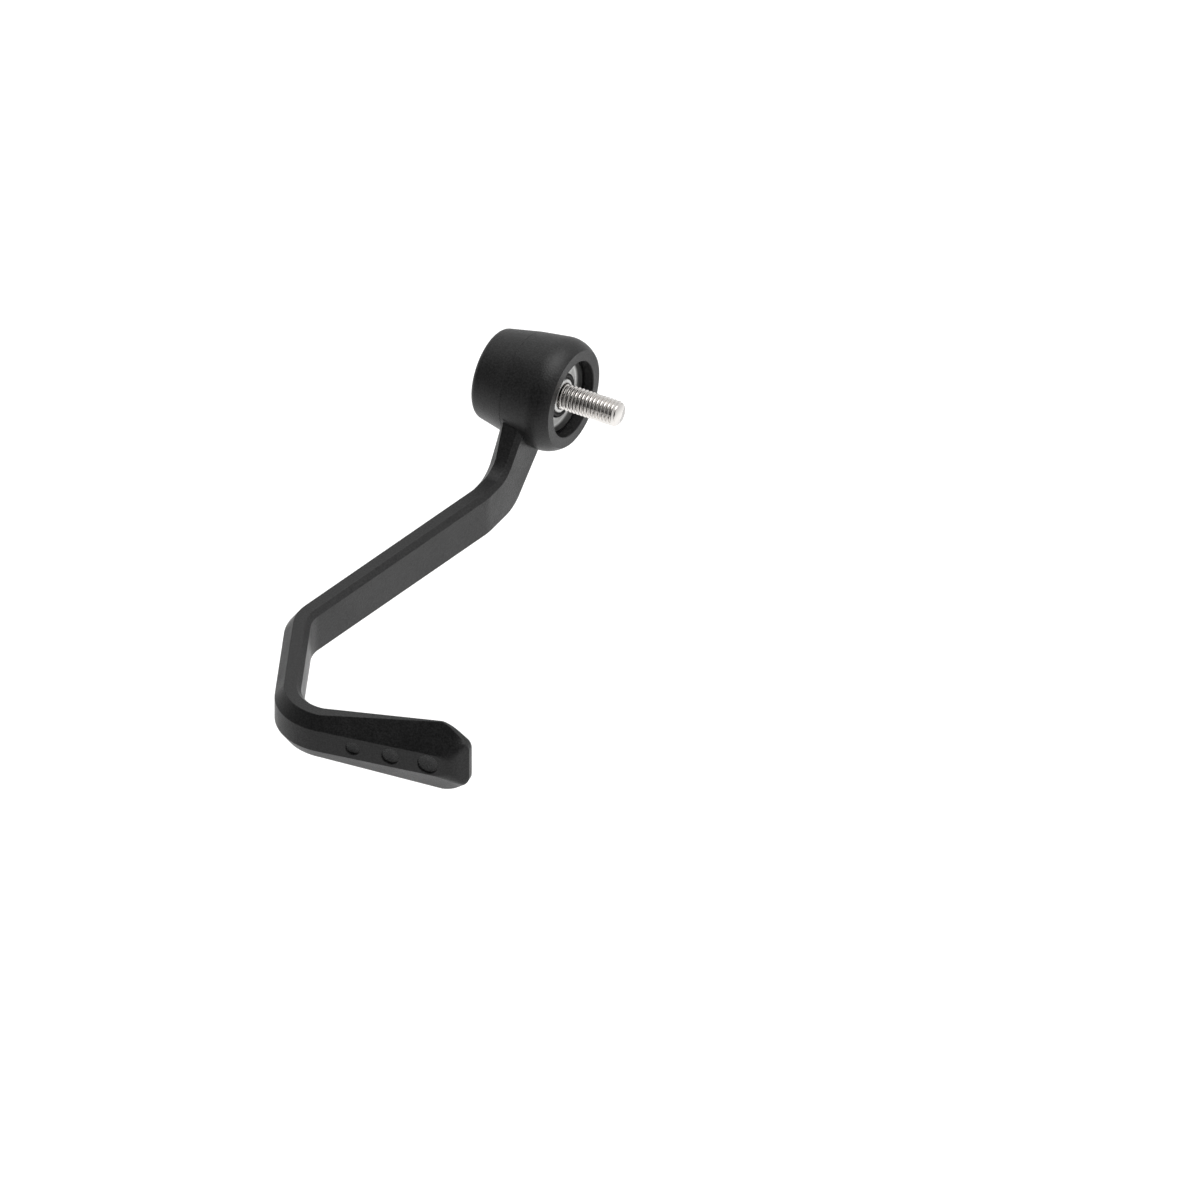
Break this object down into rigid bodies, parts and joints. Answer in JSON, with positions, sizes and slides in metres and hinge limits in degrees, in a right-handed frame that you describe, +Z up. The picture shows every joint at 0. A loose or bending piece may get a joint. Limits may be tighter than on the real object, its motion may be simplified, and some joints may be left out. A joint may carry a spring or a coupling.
{
  "type": "brake lever guard",
  "caption": "Lever guard for a motorcycle handlebar end: a tapered barrel on a clamping bolt, with a bevelled arm that drops, runs forward and turns inboard into a flared, dimpled blade.",
  "frame": {"origin": "middle of the mounting face, on the axis of the bolt", "axes": "+X along the handlebar towards its middle, which is the way the bolt points; -Y forward, along the arm's reach; +Z up"},
  "size_m": [0.0811, 0.1812, 0.0528],
  "materials": {
    "moulded_black": "fine-grained satin black, moulded",
    "core_metal": "turned, bright",
    "ring_rubber": "smooth satin black",
    "bush_steel": "turned, bright",
    "bolt_steel": "bright stainless"
  },
  "bodies": {
    "root": {"guard_arm": "moulded_black", "end_cap": "moulded_black", "clamp_core": "core_metal", "o_ring": "ring_rubber", "head_bush": "bush_steel", "mounting_bolt": "bolt_steel"}
  },
  "joints": []
}
